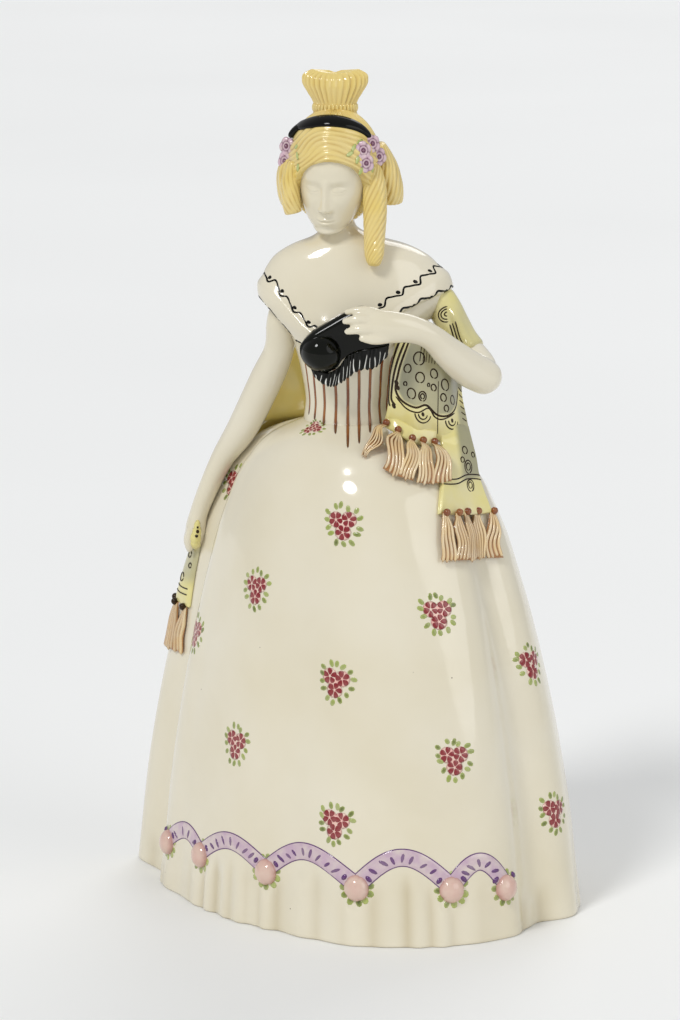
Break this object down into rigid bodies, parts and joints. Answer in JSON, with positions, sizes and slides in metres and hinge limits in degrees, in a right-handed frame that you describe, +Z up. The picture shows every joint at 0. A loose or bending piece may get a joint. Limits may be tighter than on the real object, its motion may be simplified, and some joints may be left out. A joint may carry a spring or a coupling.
{
  "type": "ceramic lady figurine",
  "caption": "Glazed earthenware figure of a lady in a wide crinoline gown, holding a half mask, with a fringed shawl; free-standing ornament.",
  "frame": {"origin": "middle of the foot's box, on the surface it stands on", "axes": "+Z up along the figure, the lady looks along -Y, +X to the right as seen from the front"},
  "size_m": [0.1623, 0.1321, 0.2998],
  "materials": {
    "ivory_glaze": "glossy clear glaze over cream earthenware",
    "bare_biscuit": "unglazed biscuit",
    "hair_ochre": "glossy yellow ochre under glaze",
    "black_enamel": "glossy black",
    "mauve_enamel": "glossy mauve",
    "shawl_yellow": "glossy yellow wash",
    "fringe_ochre": "glossy brown brush lines",
    "rose_pink": "glossy pink wash"
  },
  "bodies": {
    "root": {"skirt": "ivory_glaze", "base_plate": "bare_biscuit", "torso": "ivory_glaze", "head": "ivory_glaze", "hair_cap": "hair_ochre", "topknot": "hair_ochre", "topknot_tie": "hair_ochre", "headband": "black_enamel", "left_flower_1": "mauve_enamel", "left_flower_2": "mauve_enamel", "left_flower_3": "mauve_enamel", "left_flower_4": "mauve_enamel", "right_flower_1": "mauve_enamel", "right_flower_2": "mauve_enamel", "left_ringlet": "hair_ochre", "left_back_curl": "hair_ochre", "right_side_curl": "hair_ochre", "right_back_curl": "hair_ochre", "right_arm": "ivory_glaze", "left_arm": "ivory_glaze", "mask": "black_enamel", "mask_lace": "black_enamel", "shawl_left_sleeve": "shawl_yellow", "shawl_left_drape": "shawl_yellow", "shawl_left_fall": "shawl_yellow", "shawl_back": "shawl_yellow", "shawl_right_end": "shawl_yellow", "fringe_front": "fringe_ochre", "fringe_fall": "fringe_ochre", "fringe_right": "fringe_ochre", "hem_rose_1": "rose_pink", "hem_rose_2": "rose_pink", "hem_rose_3": "rose_pink", "hem_rose_4": "rose_pink", "hem_rose_5": "rose_pink", "hem_rose_6": "rose_pink"}
  },
  "joints": []
}
